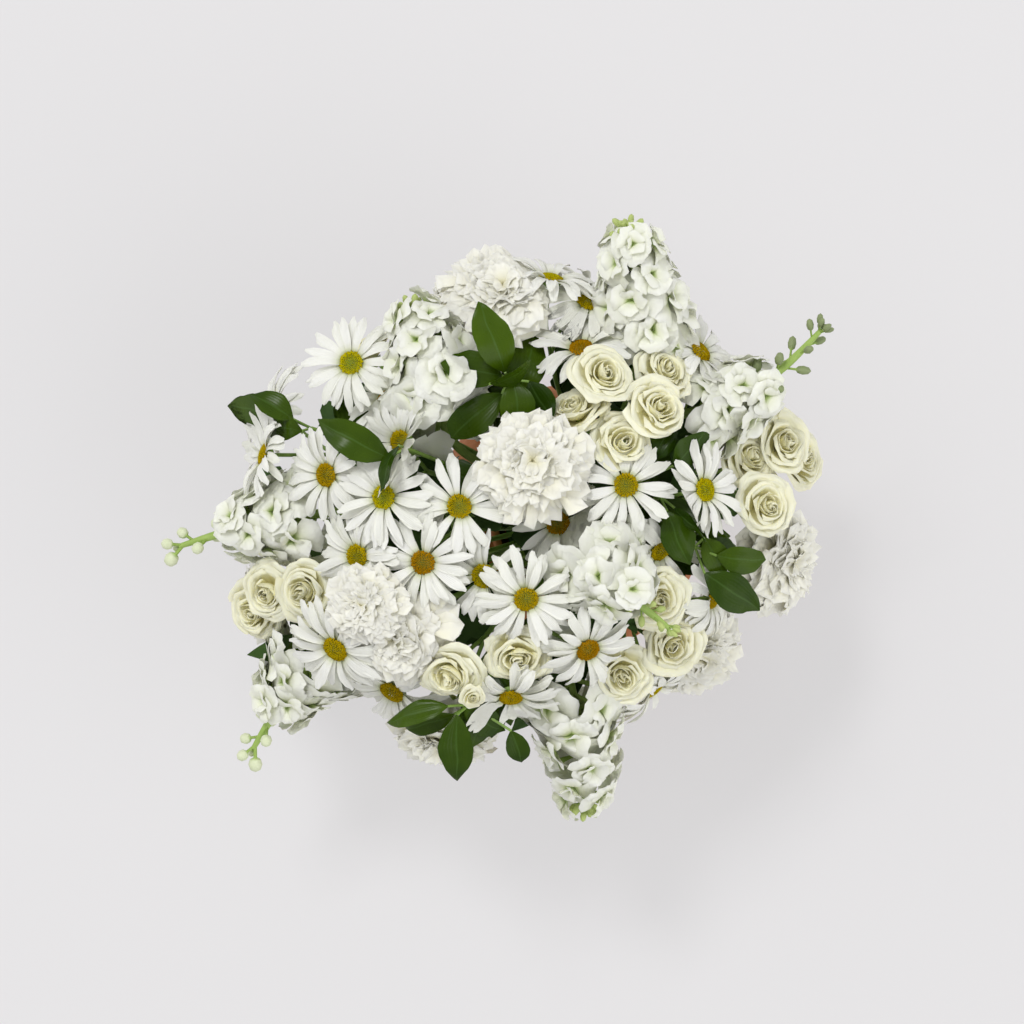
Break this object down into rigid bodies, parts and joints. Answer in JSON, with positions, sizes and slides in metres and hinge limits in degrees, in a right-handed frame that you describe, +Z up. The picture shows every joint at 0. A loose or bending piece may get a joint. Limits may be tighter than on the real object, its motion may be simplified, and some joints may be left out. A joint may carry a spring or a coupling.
{
  "type": "floral table centerpiece",
  "caption": "Low domed centerpiece of white daisies, cream spray roses, carnations and stock with dark foliage, standing in floral foam in a round-bellied terracotta bowl",
  "frame": {"origin": "the middle of the bowl's foot, on the surface that the bowl stands on", "axes": "+Z is up. +X is to the right and +Y to the back as the piece is seen from above, and the flowers reach furthest along X"},
  "size_m": [0.4551, 0.4023, 0.3029],
  "materials": {
    "bowl": "unglazed matt terracotta",
    "foam": "matt, fine-celled",
    "daisy": "satin white petals, matt yellow disc",
    "rose": "satin cream petals",
    "carnation": "soft matt white petals",
    "stock": "soft white petals on pale green stems",
    "foliage": "glossy dark green leaves"
  },
  "bodies": {
    "root": {"bowl": "bowl", "floral_foam": "foam", "daisy_spray_1": "daisy", "daisy_spray_2": "daisy", "daisy_spray_3": "daisy", "daisy_spray_4": "daisy", "daisy_spray_5": "daisy", "daisy_spray_6": "daisy", "daisy_spray_7": "daisy", "daisy_spray_8": "daisy", "daisy_spray_9": "daisy", "daisy_spray_10": "daisy", "daisy_spray_11": "daisy", "daisy_spray_12": "daisy", "daisy_spray_13": "daisy", "daisy_spray_14": "daisy", "daisy_spray_15": "daisy", "rose_spray_1": "rose", "rose_spray_2": "rose", "rose_spray_3": "rose", "rose_spray_4": "rose", "rose_spray_5": "rose", "rose_spray_6": "rose", "rose_spray_7": "rose", "rose_spray_8": "rose", "rose_spray_9": "rose", "carnation_1": "carnation", "carnation_2": "carnation", "carnation_3": "carnation", "carnation_4": "carnation", "carnation_5": "carnation", "carnation_6": "carnation", "carnation_7": "carnation", "carnation_8": "carnation", "carnation_9": "carnation", "stock_1": "stock", "stock_2": "stock", "stock_3": "stock", "stock_4": "stock", "stock_5": "stock", "stock_6": "stock", "stock_7": "stock", "ruscus_1": "foliage", "ruscus_2": "foliage", "ruscus_3": "foliage", "ruscus_4": "foliage", "ruscus_5": "foliage", "ruscus_6": "foliage", "ruscus_7": "foliage", "ruscus_8": "foliage", "ruscus_9": "foliage"}
  },
  "joints": []
}
